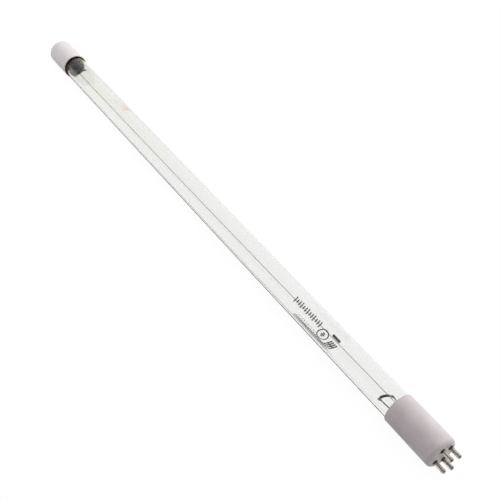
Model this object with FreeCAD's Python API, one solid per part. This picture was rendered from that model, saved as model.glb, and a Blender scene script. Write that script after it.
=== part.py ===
import FreeCAD, Part
import math
import os

# Single-ended four pin germicidal lamp, lying along X with its contact pins at +X.
# Millimetres, +Z up, the floor at Z = 0 under the middle of the lamp.

# Overall
overallLength = 436.0
contactPinLength = 6.5

# Quartz tube
tubeRadius = 8.0
tubeWall = 1.0

# Ceramic shells, each with room for a ring of cement between its bore and the tube
cementRoom = 0.5
shellWall = 0.5
shellEndThickness = 3.0
shellEndRounding = 2.2
baseLength = 31.5
capLength = 27.5

# Contact pins, on a rectangle across the base face
contactPinRadius = 1.175
contactPinShankRadius = 1.0
contactPinTipRounding = 0.9
contactPinSpacingY = 6.35
contactPinSpacingZ = 7.92
contactPinFlangeRadius = 1.75
contactPinFlangeThickness = 1.2
contactPinClearance = 0.03
contactSeatRadius = 1.6
contactSeatDepth = 0.08

# Room between the end of each press seal and what stands behind it in its shell
roomBehindNearSeal = 6.3
roomBehindFarSeal = 3.5

# Press seal. The shares say how far each step lies from the mouth of the shell to the end of the seal.
sealTurn = 7.5
shoulderStartShare = 0.381
shoulderMiddleShare = 0.514
shoulderEndShare = 0.695
sealStartShare = 0.762
sealHalfWidth = 6.2
sealHalfHeight = 1.5
cavityEndShare = 0.657
cavityHalfWidth = 4.6
cavityHalfHeight = 0.8

# Foils and wires in the press seal
leadSpacing = 6.0
foilThickness = 0.12
foilWidth = 1.9
foilStartShare = 0.714
foilEndShare = 0.952
foilOverlap = 1.0
leadRadius = 0.3
wireBend = 0.8
thinWireSides = 6

# Filament and the posts that carry it
filamentSpan = 10.5
filamentWireRadius = 0.22
filamentCoilRadius = 0.42
filamentTurns = 6
filamentLeg = 0.9
filamentTail = 0.75
nearFilamentReach = 7.8
nearFilamentSlant = 1.7
farFilamentReach = 6.8
farFilamentSlant = -0.9
postRadius = 0.32
clampThickness = 0.3
clampWidth = 1.1
clampLength = 1.6
clampFold = 0.7

# Ring of cement that bonds the tube into each shell
cementStartShare = 0.119
cementEndShare = 0.371

# Wires that bring the far filament back to the base along the outside of the tube,
# low on the glass, each turned this many degrees away from straight down
returnWireRadius = 0.17
returnWireGap = 0.14
returnWireSpreadNearBase = 61.0
returnWireSpreadNearCap = 42.0
returnWireTurnRoom = 1.7
leadRoom = 2.6
trimAllowance = 0.2

# Shell sizes that follow the tube
shellBore = tubeRadius + cementRoom
shellRadius = shellBore + shellWall

# Places along the lamp
axisHeight = shellRadius
capBack = -overallLength / 2.0
pinTip = overallLength / 2.0
baseFace = pinTip - contactPinLength
baseMouth = baseFace - baseLength
capMouth = capBack + capLength
tubeBore = tubeRadius - tubeWall
plateInner = baseFace - shellEndThickness
flangeBack = plateInner - contactPinFlangeThickness
contactSeat = baseFace - contactSeatDepth
returnWireSeat = tubeRadius + returnWireGap + returnWireRadius
nearSealEnd = flangeBack - roomBehindNearSeal - baseMouth
farSealEnd = capLength - shellEndThickness - roomBehindFarSeal


def onAxis(x, y=0.0, z=0.0):
    return FreeCAD.Vector(x, y, axisHeight + z)


def polar(x, radius, turn):
    angle = math.radians(turn)
    return onAxis(x, radius * math.cos(angle), radius * math.sin(angle))


def unit(vector):
    return FreeCAD.Vector(vector).normalize()


class LampEnd:
    # One end of the lamp. Depth runs from the shell mouth towards the closed end of the shell.
    # Side and lift lie across the lamp, in the plane of the press seal and square to it.
    def __init__(self, mouth, outward, sealEnd):
        self.mouth = mouth
        self.outward = outward
        self.sealEnd = sealEnd
        turn = math.radians(sealTurn)
        self.sideways = FreeCAD.Vector(0, math.cos(turn), math.sin(turn))
        self.upwards = FreeCAD.Vector(0, -math.sin(turn), math.cos(turn))

    def point(self, depth, side=0.0, lift=0.0):
        centre = onAxis(self.mouth + self.outward * depth)
        return centre + self.sideways * side + self.upwards * lift

    def along(self):
        return FreeCAD.Vector(self.outward, 0, 0)

    def step(self, share):
        return share * self.sealEnd


nearEnd = LampEnd(baseMouth, 1.0, nearSealEnd)
farEnd = LampEnd(capMouth, -1.0, farSealEnd)


# Sections of the press seal, all drawn with eight edges so that they loft cleanly

def circleSection(end, depth, radius):
    turns = [-20, 20, 70, 110, 160, 200, 250, 290, 340]
    edges = []
    for first, last in zip(turns[:-1], turns[1:]):
        corners = []
        for turn in (first, 0.5 * (first + last), last):
            angle = math.radians(turn)
            corners.append(end.point(depth, radius * math.cos(angle), radius * math.sin(angle)))
        edges.append(Part.Arc(corners[0], corners[1], corners[2]).toShape())
    return Part.Wire(edges)


def flatSection(end, depth, halfWidth, halfHeight, corner):
    edges = []
    arms = [(1, 1), (-1, 1), (-1, -1), (1, -1)]
    starts = [0, 90, 180, 270]
    corners = []
    for (sideSign, liftSign), start in zip(arms, starts):
        side = sideSign * (halfWidth - corner)
        lift = liftSign * (halfHeight - corner)
        bend = []
        for turn in (start, start + 45, start + 90):
            angle = math.radians(turn)
            bend.append(end.point(depth, side + corner * math.cos(angle), lift + corner * math.sin(angle)))
        corners.append(bend)
    for index in range(4):
        before = corners[index - 1]
        bend = corners[index]
        edges.append(Part.LineSegment(before[2], bend[0]).toShape())
        edges.append(Part.Arc(bend[0], bend[1], bend[2]).toShape())
    return Part.Wire(edges)


def shoulderOutside(end):
    sections = [
        circleSection(end, end.step(shoulderStartShare), tubeRadius),
        flatSection(
            end,
            end.step(shoulderMiddleShare),
            0.94 * tubeRadius,
            0.75 * tubeRadius,
            0.65 * tubeRadius,
        ),
        flatSection(
            end,
            end.step(shoulderEndShare),
            1.05 * sealHalfWidth,
            1.4 * sealHalfHeight,
            sealHalfHeight,
        ),
        flatSection(end, end.step(sealStartShare), sealHalfWidth, sealHalfHeight, 0.7 * sealHalfHeight),
    ]
    shoulder = Part.makeLoft(sections, True, True)
    seal = Part.Face(sections[-1]).extrude(end.along() * (end.sealEnd - end.step(sealStartShare)))
    return shoulder.fuse(seal)


def shoulderInside(end):
    sections = [
        circleSection(end, end.step(shoulderStartShare), tubeBore),
        flatSection(
            end,
            end.step(cavityEndShare),
            cavityHalfWidth,
            cavityHalfHeight,
            0.9 * cavityHalfHeight,
        ),
    ]
    return Part.makeLoft(sections, True, True)


def tubeLength(radius):
    start = farEnd.point(farEnd.step(shoulderStartShare))
    finish = nearEnd.point(nearEnd.step(shoulderStartShare))
    return Part.makeCylinder(radius, finish.x - start.x, start, FreeCAD.Vector(1, 0, 0))


# Shells, turned about the lamp axis

def shell(face, mouth, inwards):
    # face is the closed end, mouth the open one, inwards the sense of X from face to mouth
    def at(distance, radius):
        return FreeCAD.Vector(face + inwards * distance, 0, radius)

    length = abs(mouth - face)
    r = shellEndRounding
    bevel = math.sqrt(0.5)
    outline = [
        Part.LineSegment(at(0, 0), at(0, shellRadius - r)),
        Part.Arc(
            at(0, shellRadius - r),
            at(r - r * bevel, shellRadius - r + r * bevel),
            at(r, shellRadius),
        ),
        Part.LineSegment(at(r, shellRadius), at(length, shellRadius)),
        Part.LineSegment(at(length, shellRadius), at(length, shellBore)),
        Part.LineSegment(at(length, shellBore), at(shellEndThickness, shellBore)),
        Part.LineSegment(at(shellEndThickness, shellBore), at(shellEndThickness, 0)),
        Part.LineSegment(at(shellEndThickness, 0), at(0, 0)),
    ]
    profile = Part.Face(Part.Wire([piece.toShape() for piece in outline]))
    solid = profile.revolve(FreeCAD.Vector(0, 0, 0), FreeCAD.Vector(1, 0, 0), 360)
    solid.translate(FreeCAD.Vector(0, 0, axisHeight))
    return solid


def contactPlaces():
    y = contactPinSpacingY / 2.0
    z = contactPinSpacingZ / 2.0
    return [(-y, z), (y, z), (-y, -z), (y, -z)]


def contactPin(y, z):
    # The contact stands in a shallow seat in the base; a thinner shank passes through to its inner flange
    r = contactPinRadius
    shank = contactPinShankRadius
    t = contactPinTipRounding
    back = flangeBack
    bevel = math.sqrt(0.5)

    def at(x, radius):
        return FreeCAD.Vector(x, 0, radius)

    outline = [
        Part.LineSegment(at(back, 0), at(back, contactPinFlangeRadius)),
        Part.LineSegment(at(back, contactPinFlangeRadius), at(plateInner, contactPinFlangeRadius)),
        Part.LineSegment(at(plateInner, contactPinFlangeRadius), at(plateInner, shank)),
        Part.LineSegment(at(plateInner, shank), at(contactSeat, shank)),
        Part.LineSegment(at(contactSeat, shank), at(contactSeat, r)),
        Part.LineSegment(at(contactSeat, r), at(pinTip - t, r)),
        Part.Arc(at(pinTip - t, r), at(pinTip - t + t * bevel, r - t + t * bevel), at(pinTip, r - t)),
        Part.LineSegment(at(pinTip, r - t), at(pinTip, 0)),
        Part.LineSegment(at(pinTip, 0), at(back, 0)),
    ]
    profile = Part.Face(Part.Wire([piece.toShape() for piece in outline]))
    solid = profile.revolve(FreeCAD.Vector(0, 0, 0), FreeCAD.Vector(1, 0, 0), 360)
    solid.translate(FreeCAD.Vector(0, y, axisHeight + z))
    return solid


# Round wire bent through a chain of points

def ringOfCorners(centre, heading, radius, sides):
    across = unit(heading.cross(FreeCAD.Vector(0, 0.3, 1)))
    over = heading.cross(across)
    corners = []
    for index in range(sides + 1):
        angle = 2.0 * math.pi * index / sides
        corners.append(centre + (across * math.cos(angle) + over * math.sin(angle)) * radius)
    return corners


def bentWire(points, radius, bend, sides=0):
    edges = []
    start = points[0]
    for before, corner, after in zip(points[:-2], points[1:-1], points[2:]):
        inward = unit(corner - before)
        outward = unit(after - corner)
        turn = inward.getAngle(outward)
        reach = bend * math.tan(turn / 2.0)
        first = corner - inward * reach
        last = corner + outward * reach
        towardsCentre = unit(outward - inward)
        middle = corner + towardsCentre * (bend / math.cos(turn / 2.0) - bend)
        edges.append(Part.LineSegment(start, first).toShape())
        edges.append(Part.Arc(first, middle, last).toShape())
        start = last
    edges.append(Part.LineSegment(start, points[-1]).toShape())
    path = Part.Wire(edges)
    heading = unit(points[1] - points[0])
    if sides:
        section = Part.makePolygon(ringOfCorners(points[0], heading, radius, sides))
    else:
        section = Part.Wire([Part.makeCircle(radius, points[0], heading)])
    return path.makePipeShell([section], True, False)


# Foils, posts, filaments and leads

def foil(end, sideSign):
    half = foilWidth / 2.0
    side = sideSign * leadSpacing / 2.0
    first = end.step(foilStartShare)
    last = end.step(foilEndShare)
    corners = [
        end.point(first, side - half, -foilThickness / 2.0),
        end.point(first, side + half, -foilThickness / 2.0),
        end.point(last, side + half, -foilThickness / 2.0),
        end.point(last, side - half, -foilThickness / 2.0),
    ]
    outline = Part.makePolygon(corners + [corners[0]])
    return Part.Face(outline).extrude(end.upwards * foilThickness)


def filamentEnd(end, reach, slant, sideSign):
    # Positive slant puts the positive side nearer to the shell
    return end.point(-reach + sideSign * slant / 2.0, sideSign * filamentSpan / 2.0)


def filament(end, reach, slant):
    # Wound along Z around the origin, then laid between the two posts
    left = filamentEnd(end, reach, slant, -1)
    right = filamentEnd(end, reach, slant, 1)
    heading = unit(right - left)
    coilLength = (right - left).Length - 2.0 * filamentLeg
    legLength = filamentTail + filamentLeg
    upZ = FreeCAD.Vector(0, 0, 1)
    start = FreeCAD.Vector(filamentCoilRadius, 0, 0)
    finish = start + upZ * coilLength
    helix = Part.makeHelix(coilLength / filamentTurns, coilLength, filamentCoilRadius)
    tangent = helix.Edges[0].tangentAt(helix.Edges[0].FirstParameter)
    across = FreeCAD.Vector(1, 0, 0)
    over = tangent.cross(across)
    corners = []
    for index in range(thinWireSides + 1):
        angle = 2.0 * math.pi * index / thinWireSides
        offset = across * math.cos(angle) + over * math.sin(angle)
        corners.append(start + offset * filamentWireRadius)
    coil = Part.Wire(helix.Edges).makePipeShell([Part.makePolygon(corners)], True, True)
    legs = [
        Part.makeCylinder(filamentWireRadius, legLength, start, upZ * -1.0),
        Part.makeCylinder(filamentWireRadius, legLength, finish, upZ),
        Part.makeSphere(filamentWireRadius * 1.1, start),
        Part.makeSphere(filamentWireRadius * 1.1, finish),
    ]
    wound = coil.multiFuse(legs)
    crossing = end.upwards
    wound.Placement = FreeCAD.Placement(
        left + heading * filamentLeg - crossing * filamentCoilRadius,
        FreeCAD.Rotation(crossing, heading.cross(crossing), heading, "ZXY"),
    )
    return wound


def post(end, reach, slant, sideSign, ownFoil):
    # A round wire whose flattened tip is folded over the tail of the filament
    grip = filamentEnd(end, reach, slant, sideSign)
    heading = unit(filamentEnd(end, reach, slant, 1) - filamentEnd(end, reach, slant, -1))
    inside = filamentWireRadius
    outside = filamentWireRadius + clampThickness
    inwards = heading.cross(end.upwards) * end.outward
    if inwards.dot(end.along()) < 0:
        inwards = inwards * -1.0

    def at(depth, lift):
        return grip - heading * (clampWidth / 2.0) + inwards * depth + end.upwards * lift

    outline = [
        Part.LineSegment(at(clampLength, inside), at(0, inside)),
        Part.Arc(at(0, inside), at(-inside, 0), at(0, -inside)),
        Part.LineSegment(at(0, -inside), at(clampFold, -inside)),
        Part.LineSegment(at(clampFold, -inside), at(clampFold, -outside)),
        Part.LineSegment(at(clampFold, -outside), at(0, -outside)),
        Part.Arc(at(0, -outside), at(-outside, 0), at(0, outside)),
        Part.LineSegment(at(0, outside), at(clampLength, outside)),
        Part.LineSegment(at(clampLength, outside), at(clampLength, inside)),
    ]
    profile = Part.Face(Part.Wire([piece.toShape() for piece in outline]))
    clamp = profile.extrude(heading * clampWidth)
    top = grip + inwards * (clampLength / 2.0) + end.upwards * (inside + clampThickness / 2.0)
    foot = end.point(end.step(foilStartShare) + foilOverlap, sideSign * leadSpacing / 2.0)
    shank = Part.makeCylinder(postRadius, (top - foot).Length, foot, top - foot)
    return shank.fuse(clamp).cut(ownFoil)


def nearLead(sideSign, place, ownFoil):
    y, z = place
    side = sideSign * leadSpacing / 2.0
    points = [
        nearEnd.point(nearEnd.step(foilEndShare) - foilOverlap, side),
        nearEnd.point(nearEnd.sealEnd + leadRoom, side),
        onAxis(flangeBack + trimAllowance, y, z),
    ]
    return trimAtPins(bentWire(points, leadRadius, wireBend, thinWireSides)).cut(ownFoil)


def returnWire(sideSign, place, ownFoil):
    y, z = place
    straightDown = 270.0
    farTurn = straightDown + sideSign * returnWireSpreadNearCap
    nearTurn = straightDown + sideSign * returnWireSpreadNearBase
    side = sideSign * leadSpacing / 2.0
    turning = farEnd.sealEnd + returnWireTurnRoom
    leaving = nearEnd.point(nearEnd.sealEnd + leadRoom).x
    points = [
        farEnd.point(farEnd.step(foilEndShare) - foilOverlap, side),
        farEnd.point(turning, side),
        polar(farEnd.point(turning).x, returnWireSeat, farTurn),
        polar(leaving, returnWireSeat, nearTurn),
        onAxis(flangeBack + trimAllowance, y, z),
    ]
    return trimAtPins(bentWire(points, returnWireRadius, wireBend, thinWireSides)).cut(ownFoil)


def trimAtPins(wire):
    # A slanted wire ends flat against the inner face of its contact pin
    across = 4.0 * shellRadius
    corner = onAxis(flangeBack, -across / 2.0, -across / 2.0)
    return wire.cut(Part.makeBox(across, across, across, corner))


def cement(end, wires):
    start = end.step(cementStartShare)
    length = end.step(cementEndShare) - start
    outer = Part.makeCylinder(shellBore, length, end.point(start), end.along())
    inner = Part.makeCylinder(tubeRadius, length, end.point(start), end.along())
    ring = outer.cut(inner)
    for wire in wires:
        ring = ring.cut(wire)
    return ring


os.makedirs("parts", exist_ok=True)

places = contactPlaces()
foils = {}
for name, end in (("near", nearEnd), ("far", farEnd)):
    for number, sideSign in ((1, -1), (2, 1)):
        foils[name, number] = foil(end, sideSign)

posts = {}
for name, end, reach, slant in (
    ("near", nearEnd, nearFilamentReach, nearFilamentSlant),
    ("far", farEnd, farFilamentReach, farFilamentSlant),
):
    for number, sideSign in ((1, -1), (2, 1)):
        posts[name, number] = post(end, reach, slant, sideSign, foils[name, number])

leads = {
    1: nearLead(-1, places[0], foils["near", 1]),
    2: nearLead(1, places[1], foils["near", 2]),
}
returnWires = {
    1: returnWire(-1, places[2], foils["far", 1]),
    2: returnWire(1, places[3], foils["far", 2]),
}

glassOutside = tubeLength(tubeRadius)
glassInside = tubeLength(tubeBore)
for end in (nearEnd, farEnd):
    glassOutside = glassOutside.fuse(shoulderOutside(end))
    glassInside = glassInside.fuse(shoulderInside(end))
glassOutside = glassOutside.removeSplitter()
quartzTube = glassOutside.cut(glassInside.removeSplitter())
for inlaid in (foils, posts, leads, returnWires):
    for piece in inlaid.values():
        quartzTube = quartzTube.cut(piece)

pinBaseShell = shell(baseFace, baseMouth, -1.0)
for y, z in places:
    hole = Part.makeCylinder(
        contactPinShankRadius + contactPinClearance,
        2.0 * shellEndThickness,
        onAxis(plateInner - shellEndThickness / 2.0, y, z),
        FreeCAD.Vector(1, 0, 0),
    )
    seat = Part.makeCylinder(
        contactSeatRadius,
        2.0 * contactSeatDepth,
        onAxis(contactSeat, y, z),
        FreeCAD.Vector(1, 0, 0),
    )
    pinBaseShell = pinBaseShell.cut(hole).cut(seat)
endCapShell = shell(capBack, capMouth, 1.0)

nodes = {
    "quartz_tube": quartzTube,
    "pin_base_shell": pinBaseShell,
    "end_cap_shell": endCapShell,
    "base_cement": cement(nearEnd, returnWires.values()),
    "cap_cement": cement(farEnd, returnWires.values()),
    "near_filament": filament(nearEnd, nearFilamentReach, nearFilamentSlant),
    "far_filament": filament(farEnd, farFilamentReach, farFilamentSlant),
    "near_lead_1": leads[1],
    "near_lead_2": leads[2],
    "return_wire_1": returnWires[1],
    "return_wire_2": returnWires[2],
}
for index, (y, z) in enumerate(places):
    nodes["contact_pin_%d" % (index + 1)] = contactPin(y, z)
for (name, number), shape in foils.items():
    nodes["%s_foil_%d" % (name, number)] = shape
for (name, number), shape in posts.items():
    nodes["%s_post_%d" % (name, number)] = shape

for node, shape in nodes.items():
    if shape.ShapeType != "Solid" and len(shape.Solids) == 1:
        shape = shape.Solids[0]
    shape.exportStep("parts/%s.step" % node)
    print(node, shape.ShapeType, len(shape.Solids), shape.isValid(), round(shape.Volume, 2))
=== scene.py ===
import math

import bmesh
import bpy
from mathutils import Matrix, Vector


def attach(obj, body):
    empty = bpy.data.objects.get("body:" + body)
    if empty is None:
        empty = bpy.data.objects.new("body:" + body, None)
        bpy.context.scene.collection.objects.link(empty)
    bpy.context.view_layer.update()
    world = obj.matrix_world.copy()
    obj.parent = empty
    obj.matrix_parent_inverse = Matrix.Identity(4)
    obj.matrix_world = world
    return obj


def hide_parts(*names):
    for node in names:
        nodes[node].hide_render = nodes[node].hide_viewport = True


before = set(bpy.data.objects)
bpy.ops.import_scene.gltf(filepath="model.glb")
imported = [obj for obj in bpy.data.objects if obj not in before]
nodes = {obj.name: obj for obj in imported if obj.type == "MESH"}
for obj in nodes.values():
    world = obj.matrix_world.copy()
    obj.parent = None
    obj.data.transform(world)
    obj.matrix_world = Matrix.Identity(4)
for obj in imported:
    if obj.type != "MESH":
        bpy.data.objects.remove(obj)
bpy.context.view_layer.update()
mm = 0.001
print("frame loaded,", len(nodes), "nodes")

# Where things are along the lamp, in mm. The lamp lies along X with its contacts at +X.
lampValues = {
    "axisHeight": 9.0,
    "pinTip": 218.0,
    "baseFace": 211.5,
    "baseMouth": 180.0,
    "capMouth": -190.5,
    "capBack": -218.0,
    "tubeRadius": 8.0,
    "sealTurn": 7.5,        # degrees that the pinched seals are turned about the axis
    "sealEnd": 21.0,        # depth of the end of each seal behind its shell mouth
}
axisHeight = lampValues["axisHeight"]


# Mesh building

def fillMesh(mesh, verts, faces, hollowFrom=None):
    # Faces look outwards, and those of the vertices from hollowFrom on look into the hollow they bound
    mesh.from_pydata([tuple(v) for v in verts], [], faces)
    build = bmesh.new()
    build.from_mesh(mesh)
    bmesh.ops.recalc_face_normals(build, faces=build.faces)
    if hollowFrom is not None:
        hollow = [face for face in build.faces if face.verts[0].index >= hollowFrom]
        bmesh.ops.reverse_faces(build, faces=hollow)
    build.to_mesh(mesh)
    build.free()


def addObject(name, data):
    made = bpy.data.objects.new(name, data)
    bpy.context.scene.collection.objects.link(made)
    return made


def makePiece(name, verts, faces, material, replaces, sharpAngle, hollowFrom=None):
    mesh = bpy.data.meshes.new(name)
    fillMesh(mesh, verts, faces, hollowFrom)
    mesh.polygons.foreach_set("use_smooth", [True] * len(mesh.polygons))
    mesh.set_sharp_from_angle(angle=math.radians(sharpAngle))
    mesh.materials.append(material)
    piece = addObject(name, mesh)
    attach(piece, "root")
    if replaces:
        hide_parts(*replaces)
    return piece


def onAxis(x, y=0.0, z=0.0):
    return Vector((x, y, axisHeight + z)) * mm


def polar(x, radius, turn):
    # turn is in degrees about the axis, 0 at +Y and 90 on top
    angle = math.radians(turn)
    return onAxis(x, radius * math.cos(angle), radius * math.sin(angle))


def joinShape(verts, faces, newVerts, newFaces):
    start = len(verts)
    verts.extend(newVerts)
    faces.extend(tuple(i + start for i in face) for face in newFaces)


def bridge(first, second):
    # Quads between two rings, or triangles where one of them is a single point
    faces = []
    count = max(len(first), len(second))
    for i in range(count):
        j = (i + 1) % count
        if len(first) == 1:
            faces.append((first[0], second[j], second[i]))
        elif len(second) == 1:
            faces.append((first[i], first[j], second[0]))
        else:
            faces.append((first[i], first[j], second[j], second[i]))
    return faces


def lathe(profile, segments, centreY=0.0, centreZ=0.0):
    # profile is a list of (x, radius) in mm, from one point on the axis to the other
    verts, faces, rings = [], [], []
    for x, radius in profile:
        start = len(verts)
        if radius < 1e-6:
            verts.append(onAxis(x, centreY, centreZ))
            rings.append([start])
            continue
        for i in range(segments):
            turn = 2 * math.pi * i / segments
            verts.append(onAxis(x, centreY + radius * math.cos(turn), centreZ + radius * math.sin(turn)))
        rings.append(list(range(start, start + segments)))
    for first, second in zip(rings[:-1], rings[1:]):
        faces += bridge(first, second)
    return verts, faces


def rounded(corner, before, after, radius, steps):
    # Points of a round corner in a profile
    corner, before, after = Vector(corner), Vector(before), Vector(after)
    toBefore = (before - corner).normalized()
    toAfter = (after - corner).normalized()
    first = corner + toBefore * radius
    last = corner + toAfter * radius
    centre = corner + (toBefore + toAfter) * radius
    points = []
    for i in range(steps + 1):
        part = i / steps * math.pi / 2
        points.append(tuple(centre + (first - centre) * math.cos(part) + (last - centre) * math.sin(part)))
    return points


def sweep(points, radius, sides):
    # Round wire along a chain of points in metres; radius in mm, one number or one for each point
    verts, faces, rings = [], [], []
    radii = radius if isinstance(radius, list) else [radius] * len(points)
    heading = (points[1] - points[0]).normalized()
    side = heading.cross(Vector((0.31, 0.2, 0.93))).normalized()
    for index, point in enumerate(points):
        before = points[max(index - 1, 0)]
        after = points[min(index + 1, len(points) - 1)]
        heading = (after - before).normalized()
        side = (side - heading * side.dot(heading)).normalized()
        over = heading.cross(side)
        start = len(verts)
        for i in range(sides):
            turn = 2 * math.pi * i / sides
            verts.append(point + (side * math.cos(turn) + over * math.sin(turn)) * radii[index] * mm)
        rings.append(list(range(start, start + sides)))
    for first, second in zip(rings[:-1], rings[1:]):
        faces += bridge(first, second)
    faces.append(tuple(reversed(rings[0])))
    faces.append(tuple(rings[-1]))
    return verts, faces


def smoothPath(corners, bend, steps=8):
    # Straight runs with round corners, corners in metres and bend in mm
    points = [corners[0]]
    for before, corner, after in zip(corners[:-2], corners[1:-1], corners[2:]):
        reach = min(bend * mm, (corner - before).length * 0.45, (after - corner).length * 0.45)
        first = corner + (before - corner).normalized() * reach
        last = corner + (after - corner).normalized() * reach
        for i in range(steps + 1):
            part = i / steps
            points.append(first * (1 - part) ** 2 + corner * 2 * part * (1 - part) + last * part ** 2)
    points.append(corners[-1])
    return points


# Shader nodes

def newGroup(name, inputs, outputs):
    group = bpy.data.node_groups.new(name, "ShaderNodeTree")
    for label, value in inputs:
        socket = group.interface.new_socket(name=label, in_out="INPUT", socket_type="NodeSocketFloat")
        socket.default_value = value
    for label in outputs:
        group.interface.new_socket(name=label, in_out="OUTPUT", socket_type="NodeSocketFloat")
    into = group.nodes.new("NodeGroupInput")
    out = group.nodes.new("NodeGroupOutput")
    return group, into, out


def addNode(tree, kind, **settings):
    node = tree.nodes.new(kind)
    for key, value in settings.items():
        if key in node.inputs:
            node.inputs[key].default_value = value
        else:
            setattr(node, key, value)
    return node


def mathNode(tree, operation, first, second=None, clamp=False):
    node = tree.nodes.new("ShaderNodeMath")
    node.operation = operation
    node.use_clamp = clamp
    for index, value in enumerate((first, second)):
        if value is None:
            continue
        if isinstance(value, (int, float)):
            node.inputs[index].default_value = value
        else:
            tree.links.new(value, node.inputs[index])
    return node.outputs[0]


def ramp(tree, value, low, high):
    # 0 below low, 1 above high, smooth between
    node = addNode(tree, "ShaderNodeMapRange", interpolation_type="SMOOTHSTEP")
    node.inputs["From Min"].default_value = low
    node.inputs["From Max"].default_value = high
    tree.links.new(value, node.inputs["Value"])
    return node.outputs["Result"]


def fallingRamp(tree, value, full, none):
    # 1 below full, 0 above none, smooth between
    return ramp(tree, mathNode(tree, "MULTIPLY", value, -1.0), -none, -full)


def rangeOf(tree, value, low, high):
    # Spreads a 0 to 1 value between two numbers
    node = addNode(tree, "ShaderNodeMapRange")
    node.inputs["To Min"].default_value = low
    node.inputs["To Max"].default_value = high
    tree.links.new(value, node.inputs["Value"])
    return node.outputs["Result"]


def mixColour(tree, mask, first, second):
    node = tree.nodes.new("ShaderNodeMix")
    node.data_type = "RGBA"
    for value, socket in ((mask, node.inputs[0]), (first, node.inputs[6]), (second, node.inputs[7])):
        if isinstance(value, tuple):
            socket.default_value = value
        else:
            tree.links.new(value, socket)
    return node.outputs[2]


def placeAxes(tree):
    # The place of a point, whole and as X, Y and Z
    place = addNode(tree, "ShaderNodeTexCoord")
    split = addNode(tree, "ShaderNodeSeparateXYZ")
    tree.links.new(place.outputs["Object"], split.inputs[0])
    return place.outputs["Object"], split.outputs


def distanceTo(tree, value, place):
    return mathNode(tree, "ABSOLUTE", mathNode(tree, "SUBTRACT", value, place))


def distanceAcross(tree, axes, y, z):
    # Distance from a line along the lamp, given in mm from its axis
    flat = addNode(tree, "ShaderNodeCombineXYZ")
    tree.links.new(axes[1], flat.inputs[1])
    tree.links.new(axes[2], flat.inputs[2])
    away = addNode(tree, "ShaderNodeVectorMath", operation="DISTANCE")
    tree.links.new(flat.outputs[0], away.inputs[0])
    away.inputs[1].default_value = onAxis(0, y, z)
    return away.outputs["Value"]


# Shared groups

def buildMottleGroup():
    # Slow and fine variation of a surface: one mask for colour, one height for bump
    sizes = [("Patch Size", 0.004), ("Grain Size", 0.0003), ("Grain Share", 0.4)]
    group, into, out = newGroup("surfaceMottle", sizes, ["Mask", "Height"])
    place = addNode(group, "ShaderNodeTexCoord")
    results = []
    for label, detail, rough in (("Patch Size", 3.0, 0.55), ("Grain Size", 2.0, 0.5)):
        noise = addNode(group, "ShaderNodeTexNoise", Detail=detail, Roughness=rough)
        group.links.new(place.outputs["Object"], noise.inputs["Vector"])
        group.links.new(mathNode(group, "DIVIDE", 1.0, into.outputs[label]), noise.inputs["Scale"])
        results.append(noise.outputs["Fac"])
    patch, grain = results
    share = into.outputs["Grain Share"]
    fine = mathNode(group, "MULTIPLY", grain, share)
    broad = mathNode(group, "MULTIPLY", patch, mathNode(group, "SUBTRACT", 1.0, share))
    group.links.new(patch, out.inputs["Mask"])
    group.links.new(mathNode(group, "ADD", fine, broad), out.inputs["Height"])
    return group


def buildBandGroup():
    # How near a point is to a place along the lamp, 1 at the place and 0 a width away from it
    group, into, out = newGroup("bandAlongLamp", [("Place", 0.0), ("Width", 0.001)], ["Mask"])
    _, axes = placeAxes(group)
    away = distanceTo(group, axes[0], into.outputs["Place"])
    share = mathNode(group, "DIVIDE", away, into.outputs["Width"])
    group.links.new(mathNode(group, "SUBTRACT", 1.0, share, clamp=True), out.inputs["Mask"])
    return group


def buildScratchGroup():
    # Fine marks that run along the lamp, from pushing the part into its holder
    group, into, out = newGroup("lengthwiseScratches", [("Spacing", 0.0002), ("Stretch", 18.0)], ["Mask"])
    _, axes = placeAxes(group)
    join = addNode(group, "ShaderNodeCombineXYZ")
    group.links.new(mathNode(group, "DIVIDE", axes[0], into.outputs["Stretch"]), join.inputs[0])
    group.links.new(axes[1], join.inputs[1])
    group.links.new(axes[2], join.inputs[2])
    noise = addNode(group, "ShaderNodeTexNoise", Detail=2.0)
    group.links.new(join.outputs[0], noise.inputs["Vector"])
    group.links.new(mathNode(group, "DIVIDE", 1.0, into.outputs["Spacing"]), noise.inputs["Scale"])
    group.links.new(ramp(group, noise.outputs["Fac"], 0.42, 0.68), out.inputs["Mask"])
    return group


mottleGroup = buildMottleGroup()
bandGroup = buildBandGroup()
scratchGroup = buildScratchGroup()


def placeGroup(tree, group, **values):
    node = tree.nodes.new("ShaderNodeGroup")
    node.node_tree = group
    for key, value in values.items():
        node.inputs[key].default_value = value
    return node.outputs


def addMottle(tree, patch, grain, share):
    return placeGroup(tree, mottleGroup, **{"Patch Size": patch, "Grain Size": grain, "Grain Share": share})


def addBand(tree, place, width):
    return placeGroup(tree, bandGroup, Place=place, Width=width)["Mask"]


def addScratches(tree, spacing, stretch):
    return placeGroup(tree, scratchGroup, Spacing=spacing, Stretch=stretch)["Mask"]


def spotMask(tree, place, mottle, x, turn, size):
    # 1 in the middle of a ragged spot on the glass, given along the lamp in metres and about it in degrees
    away = addNode(tree, "ShaderNodeVectorMath", operation="DISTANCE")
    tree.links.new(place, away.inputs[0])
    away.inputs[1].default_value = polar(x / mm, lampValues["tubeRadius"], turn)
    ragged = mathNode(tree, "MULTIPLY", mottle["Height"], size * 1.4)
    edge = mathNode(tree, "ADD", away.outputs["Value"], ragged)
    return fallingRamp(tree, edge, size * 0.5, size * 1.9)


def startMaterial(name):
    material = bpy.data.materials.new(name)
    material.use_nodes = True
    tree = material.node_tree
    return material, tree, tree.nodes["Principled BSDF"]


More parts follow.
